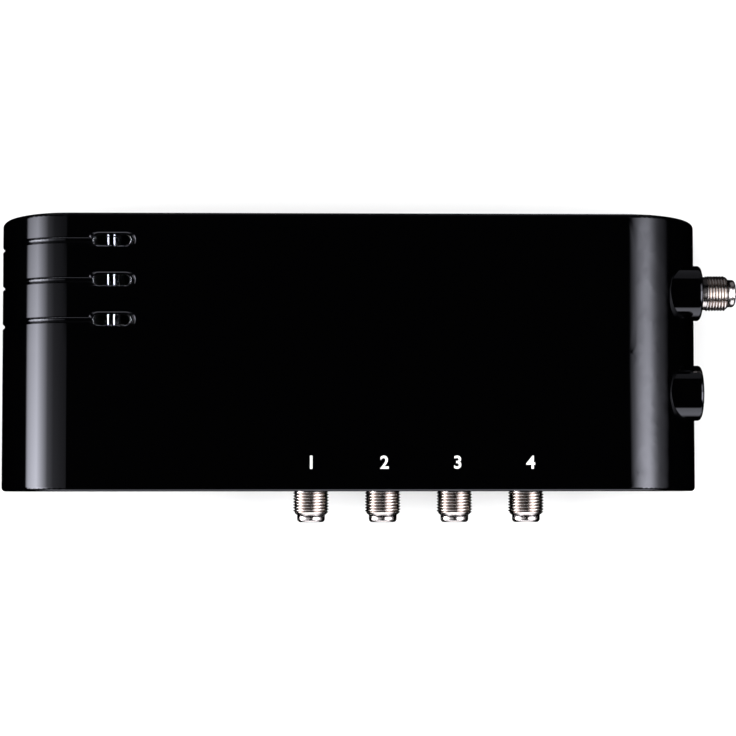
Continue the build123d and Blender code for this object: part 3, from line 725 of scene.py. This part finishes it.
def make_rim(index, middle):
    """The thin black ring round a lens, with its underside."""
    rim_base = -moat_drop - rim_thickness
    rows = [level_ring(lens_play, -moat_drop), level_ring(moat_width, -moat_drop), rim_ring()]
    rows += [level_ring(moat_width, rim_base), level_ring(lens_play, rim_base)]
    form = bmesh.new()
    bridge(form, window_rings(form, middle, rows), closed=True)
    show_piece(f"window_rim_{index}", form, gloss_black, "gloss_black_shell",
               sharp_degrees=window_sharp_degrees)


for window_index, (lens_low, lens_high) in enumerate(lens_boxes, 1):
    window_middle = Vector(((lens_low.x + lens_high.x) / 2, (lens_low.y + lens_high.y) / 2, top_z))
    make_lens(window_index, window_middle)
    make_rim(window_index, window_middle)

# %% [markdown]
# Through each lens show the two blades of the lamp's lead frame, the brightest thing on the dark top. They
# could be flat boxes, but a flat top would mirror the dark overhead. Their heads are cut at a slant, as
# stamped ones often are, and the slant throws the side light back at the camera. Each blade is a stack of
# three prisms, a head, a neck and a leg, with fine bevels that catch a line of light.

# %% The lead frames
blade_slant = math.radians(14)
blade_thickness = 0.34 * mm
blade_bevel = 0.04 * mm
blade_bevel_steps = 2
right_inset = 0.42 * mm
neck_thickness = 0.28 * mm
leg_thickness = 0.34 * mm
head_height = 0.9 * mm
neck_height = 1.8 * mm
neck_inset = 0.3 * mm
head_setback = 0.32 * mm
corner_angle = 1.0

lead_metal = new_material("bright_lead_frame", (0.45, 0.45, 0.47), 0.12, 1.0)
vary_roughness(lead_metal, 2000.0, 0.08, 0.18)


def add_prism(form, corners, y_low, y_high):
    """A prism along Y from corners in X and Z, in order."""
    bridge_and_cap(form, add_rings(form, [[(x, y, z) for x, z in corners] for y in (y_low, y_high)]))


def add_upright(form, middle_x, thickness, z_low, z_high, y_low, y_high):
    """A square-cut prism centred on an X."""
    near = middle_x - thickness / 2
    far = middle_x + thickness / 2
    add_prism(form, [(near, z_low), (far, z_low), (far, z_high), (near, z_high)], y_low, y_high)


def make_blades(index):
    """Both blades of one lead frame."""
    low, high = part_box(f"lamp_blades_{index}")
    form = bmesh.new()
    drop = blade_thickness * math.tan(blade_slant)
    neck = high.z - head_height
    middle_y = (low.y + high.y) / 2
    for x in (low.x, high.x - right_inset - blade_thickness):
        far = x + blade_thickness
        middle_x = x + blade_thickness / 2
        head = [(x, neck), (far, neck), (far, high.z - drop), (x, high.z)]
        add_prism(form, head, low.y, high.y - head_setback)
        add_upright(form, middle_x, neck_thickness, neck - neck_height, neck,
                    low.y + neck_inset, high.y - neck_inset - head_setback)
        add_upright(form, middle_x, leg_thickness, low.z, neck,
                    middle_y - leg_thickness / 2, middle_y + leg_thickness / 2)
    sharp = [edge for edge in form.edges if edge.calc_face_angle(0) > corner_angle]
    bmesh.ops.bevel(form, geom=sharp, offset=blade_bevel, segments=blade_bevel_steps, affect="EDGES")
    show_piece(f"lead_frame_{index}", form, lead_metal, "tinned_steel", f"lamp_blades_{index}")


slant_degrees = round(math.degrees(blade_slant))
print("blades:", round(blade_thickness / mm, 2), "mm thick, cut at", slant_degrees, "degrees")

# %% [markdown]
# The lamp round the blades is a block of clear epoxy, cast in a mould, so its edges are soft. A cube with
# a bevel is all it needs: scaled to the loaded lamp's box, then rounded, so the rounding stays even. Each
# lamp is made together with the lead frame that stands in it.

# %% The lamps with their lead frames
lamp_bevel = 0.3 * mm
lamp_bevel_steps = 4


def make_lamp(index):
    """The clear block round one lead frame."""
    low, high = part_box(f"lamp_body_{index}")
    form = bmesh.new()
    bmesh.ops.create_cube(form, size=1.0)
    size = Matrix.Diagonal((*(high - low), 1.0))
    bmesh.ops.transform(form, matrix=Matrix.Translation((low + high) / 2) @ size, verts=form.verts)
    edges = form.edges[:]
    bmesh.ops.bevel(form, geom=edges, offset=lamp_bevel, segments=lamp_bevel_steps, affect="EDGES")
    show_piece(f"clear_lamp_{index}", form, clear_plastic, "clear_lens", f"lamp_body_{index}")


for lamp_index in (1, 2, 3):
    make_blades(lamp_index)
    make_lamp(lamp_index)

# %% [markdown]
# The outputs are numbered 1 to 4 in white screen ink, and the rest of the top stays bare. A numeral
# could be a picture on the cover, but a mesh stays sharp at any distance. Ink has a thickness of a few
# hundredths of a millimetre, so each numeral is a thin solid made from a text curve. Its place goes into
# its mesh.

# %% Printed numerals
numeral_height = 3.5 * mm
numeral_y = -29.3 * mm
stroke_weight = 0.02
outline_weld = 1e-5
ink_thickness = 0.03 * mm
ink_clearance = 0.002 * mm

ink = new_material("white_screen_ink", (0.86, 0.86, 0.84), 0.45)
vary_color(ink, 1500.0, (0.82, 0.82, 0.8), (0.88, 0.88, 0.87))


def flat_numeral(number):
    """The flat mesh of a text curve, with its doubles merged."""
    curve = bpy.data.curves.new("numeral", "FONT")
    curve.body = str(number)
    curve.align_x = "CENTER"
    curve.align_y = "CENTER"
    curve.size = 1.0
    curve.offset = stroke_weight
    writer = bpy.data.objects.new("numeral", curve)
    bpy.context.scene.collection.objects.link(writer)
    evaluated = writer.evaluated_get(bpy.context.evaluated_depsgraph_get())
    flat = bpy.data.meshes.new_from_object(evaluated)
    bpy.data.objects.remove(writer)
    form = bmesh.new()
    form.from_mesh(flat)
    bmesh.ops.remove_doubles(form, verts=form.verts, dist=outline_weld)
    return form


def make_numeral(number, x):
    """A numeral of printed ink behind the output at this X."""
    form = flat_numeral(number)
    heights = [vert.co.y for vert in form.verts]
    widths = [vert.co.x for vert in form.verts]
    scale = numeral_height / (max(heights) - min(heights))
    middle = Vector(((max(widths) + min(widths)) / 2, (max(heights) + min(heights)) / 2, 0))
    place = Vector((x, numeral_y, top_z + ink_clearance))
    for vert in form.verts:
        vert.co = (vert.co - middle) * scale + place
    raised = bmesh.ops.extrude_face_region(form, geom=form.faces[:])["geom"]
    for vert in raised:
        if isinstance(vert, bmesh.types.BMVert):
            vert.co.z += ink_thickness
    show_piece(f"port_numeral_{number}", form, ink, "white_insulator")


for number in (1, 2, 3, 4):
    output_low, output_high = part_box(f"output_port_{number}_body")
    make_numeral(number, (output_low.x + output_high.x) / 2)

# %% [markdown]
# The camera stands almost overhead, a little to the left and a little in front, about 0.6 m from the top
# face. A Track To constraint could aim it, but this picture's sides run along X and Y, so its axes are
# worked out from the line of sight and the X axis. Its lens follows from a focal length in pixels.

# %% Camera
camera_lean = Vector((-0.0294, -0.0526, 1.0))
camera_distance = 0.6213
camera_target = Vector((4.24 * mm, -4.33 * mm, top_z))
camera_roll = math.radians(0.05)
near_clip = 0.01
sensor_width = 36.0
frame_pixels = 736
focal_pixels = 2342.3

back = camera_lean.normalized()
right = (Vector((1, 0, 0)) - back * back.x).normalized()
up = back.cross(right)
turned_right = right * math.cos(camera_roll) + up * math.sin(camera_roll)
turned_up = up * math.cos(camera_roll) - right * math.sin(camera_roll)
camera_data = bpy.data.cameras.new("photograph_camera")
camera_data.sensor_width = sensor_width
camera_data.lens = focal_pixels / frame_pixels * sensor_width
camera_data.clip_start = near_clip
camera = bpy.data.objects.new("photograph_camera", camera_data)
axes = Matrix((turned_right, turned_up, back)).transposed().to_4x4()
camera.matrix_world = Matrix.Translation(camera_target + back * camera_distance) @ axes
bpy.context.scene.collection.objects.link(camera)
bpy.context.scene.camera = camera
print("camera at", [round(v, 3) for v in camera.location], "lens", round(camera_data.lens, 1), "mm")

# %% [markdown]
# Black gloss shows only what it mirrors. Real lamps and cards could stand round the object, but they would
# also light the ink and the floor. So the studio is painted on the world, for mirror-like rays alone:
# black overhead, a graded softbox on each side, and two long strips, a bright one in front and a dim one
# behind. A ramp over the angle from the vertical shapes each, and smooth fades end them.


# %% Helpers for the painted studio
def ramp_over(tree, value, stops):
    """Brightness along a value from 0 to 1, from pairs of place and brightness."""
    node = add_node(tree, "ShaderNodeValToRGB", Fac=value)
    elements = node.color_ramp.elements
    while len(elements) < len(stops):
        elements.new(1.0)
    for element, (place, brightness) in zip(elements, stops):
        element.position = place
        element.color = (brightness, brightness, brightness, 1.0)
    return node.outputs["Color"]


def turn_from_vertical(tree, across, upward):
    """The angle of a direction from the vertical, as a share of a turn, with the vertical at 0.5."""
    return calc(tree, "MULTIPLY_ADD", calc(tree, "ARCTAN2", across, upward), 1 / math.tau, 0.5)


def degrees_as_shares(stops):
    """Stops given in degrees, in the shares of a turn that the ramp reads."""
    return [(degrees / 360 + 0.5, brightness) for degrees, brightness in stops]


def fade(tree, value, low, high, start, end, interpolation="SMOOTHSTEP"):
    """A change from one number to another while a value goes from low to high."""
    ends = {"From_Min": low, "From_Max": high, "To_Min": start, "To_Max": end}
    settings = {"interpolation_type": interpolation}
    return add_node(tree, "ShaderNodeMapRange", settings, Value=value, **ends).outputs["Result"]


ramp_places = [place for place, _ in degrees_as_shares(((0, 0.0), (90, 0.0)))]
print("on a ramp the vertical and the right-hand horizon lie at", ramp_places)

# %% [markdown]
# The side boxes make the bright bands on the curved ends. One even box on each side would make two flat
# bands, so each has its own stops, which run from the left, over the top, to the right. The left band
# ends sharply on the outside, and the right one is a broad, soft hump. Both are brighter toward the
# front, and they fade out as the strips begin.

# %% Side boxes
side_peak = 10.0
side_stops_degrees = (
    (-103, 0.0), (-100, 0.3), (-95, 0.5), (-88, 0.66), (-79, 0.85), (-67, 0.5), (-53, 0.11),
    (-38, 0.04), (-15, 0.022), (-6, 0.0), (14.5, 0.0), (17.5, 0.08), (23.5, 0.19), (29.5, 0.33),
    (35.5, 0.46), (42, 0.56), (48, 0.59), (54, 0.55), (59.5, 0.39), (65.5, 0.22), (71.5, 0.11),
    (77.5, 0.063), (83.5, 0.042), (89.5, 0.02), (95, 0.0),
)
side_front_y = -0.02
side_front_gain = 1.6
side_rear_y = 0.12
side_rear_gain = 0.62
side_full_to = 0.34
side_gone_at = 0.55


def side_boxes(tree, x, y, z):
    """Brightness of the two side boxes in a direction."""
    away = calc(tree, "ABSOLUTE", y)
    side = ramp_over(tree, turn_from_vertical(tree, x, z), degrees_as_shares(side_stops_degrees))
    gain = fade(tree, y, side_front_y, side_rear_y, side_front_gain, side_rear_gain, "LINEAR")
    side = calc(tree, "MULTIPLY", side, gain)
    return calc(tree, "MULTIPLY", side, fade(tree, away, side_full_to, side_gone_at, side_peak, 0.0))


print("side boxes:", len(side_stops_degrees), "stops")

# %% [markdown]
# The strips light the long edges, the fronts of the ports and the window rims. The back one is much
# dimmer, and both fade out sideways, so that they do not reach round to the curved ends.

# %% Front and back strips
strip_stops_degrees = (
    (-118, 0.0), (-106, 0.8), (-96, 1.0), (-70, 1.0), (-64, 0.0),
    (60, 0.0), (64, 1.0), (108, 1.0), (112, 0.0),
)
front_strip = 2.1
back_strip = 0.2
strip_change_y = 0.2
strip_starts_at = 0.45
strip_full_from = 0.6
strip_full_to = 0.5
strip_gone_at = 0.7


def long_strips(tree, x, y, z):
    """Brightness of the front and back strips in a direction."""
    away = calc(tree, "ABSOLUTE", y)
    sideways = calc(tree, "ABSOLUTE", x)
    strips = ramp_over(tree, turn_from_vertical(tree, y, z), degrees_as_shares(strip_stops_degrees))
    peak = fade(tree, y, -strip_change_y, strip_change_y, front_strip, back_strip)
    strips = calc(tree, "MULTIPLY", strips, peak)
    strips = calc(tree, "MULTIPLY", strips, fade(tree, away, strip_starts_at, strip_full_from, 0.0, 1.0))
    return calc(tree, "MULTIPLY", strips, fade(tree, sideways, strip_full_to, strip_gone_at, 1.0, 0.0))


print("strips:", len(strip_stops_degrees), "stops")

# %% [markdown]
# One world serves three kinds of ray. The camera sees plain white, matt surfaces get an even fill, and
# mirror-like and transmitted rays see the painted studio, which is a little blue, as daylight lamps are.

# %% World
camera_white = 1.0
even_fill = 1.1
softbox_tint = (0.94, 0.95, 1.09, 1.0)
plain_white = (1.0, 1.0, 1.0, 1.0)


def paint_world(tree):
    """Join the painted studio, the white backdrop and the even fill by the kind of ray."""
    place = add_node(tree, "ShaderNodeTexCoord").outputs["Generated"]
    x, y, z = add_node(tree, "ShaderNodeSeparateXYZ", Vector=place).outputs
    mirrored = calc(tree, "ADD", side_boxes(tree, x, y, z), long_strips(tree, x, y, z))
    rays = add_node(tree, "ShaderNodeLightPath").outputs
    seen = calc(tree, "MULTIPLY", rays["Is Camera Ray"], camera_white)
    shine = calc(tree, "MAXIMUM", rays["Is Glossy Ray"], rays["Is Transmission Ray"])
    strength = calc(tree, "MULTIPLY_ADD", shine, mirrored, seen)
    strength = calc(tree, "MULTIPLY_ADD", rays["Is Diffuse Ray"], even_fill, strength)
    background = tree.nodes["Background"]
    tree.links.new(mix_colors(tree, shine, plain_white, softbox_tint), background.inputs["Color"])
    tree.links.new(strength, background.inputs["Strength"])


world = bpy.data.worlds.new("studio")
bpy.context.scene.world = world
world.use_nodes = True
paint_world(world.node_tree)
print("world has", len(world.node_tree.nodes), "nodes")

# %% [markdown]
# A pale floor keeps a soft shadow. It lies a hair below the feet, so that the two never flicker. It is left
# out of mirror reflections, where the painted studio stands in for it. Two large softboxes light matt
# surfaces from the left and the right, where one lamp alone would leave a hard dark side.

# %% Floor and lamps
floor_size = 6.0
floor_z = -0.02 * mm
floor_white = (0.94, 0.94, 0.94)
panel_width = 0.8
panel_height = 1.2


def make_floor(size):
    """A square of floor round the origin."""
    data = bpy.data.meshes.new("studio_floor")
    half = size / 2
    corners = [(x, y, floor_z) for x, y in ((-half, -half), (half, -half), (half, half), (-half, half))]
    data.from_pydata(corners, [], [(0, 1, 2, 3)])
    made = bpy.data.objects.new("studio_floor", data)
    bpy.context.scene.collection.objects.link(made)
    return made


def add_panel(name, place, power):
    """A flat soft light that faces the origin and stays out of mirror reflections."""
    data = bpy.data.lights.new(name, "AREA")
    data.shape = "RECTANGLE"
    data.size = panel_width
    data.size_y = panel_height
    data.energy = power
    lamp = bpy.data.objects.new(name, data)
    lamp.location = place
    lamp.rotation_euler = Vector(place).to_track_quat("Z", "Y").to_euler()
    lamp.visible_glossy = False
    bpy.context.scene.collection.objects.link(lamp)
    return lamp


floor = make_floor(floor_size)
floor.data.materials.append(new_material("pale_studio_floor", floor_white, 0.9, Specular_IOR_Level=0.0))
floor.visible_glossy = False
add_panel("left_softbox", (-1.1, -0.2, 1.0), 16)
add_panel("right_softbox", (1.1, -0.1, 1.0), 12)
print("floor is", floor_size, "m wide, with", len(bpy.data.lights), "softboxes over it")

# %% [markdown]
# The Standard view keeps each colour as it is written.

# %% View settings
bpy.context.scene.view_settings.view_transform = "Standard"
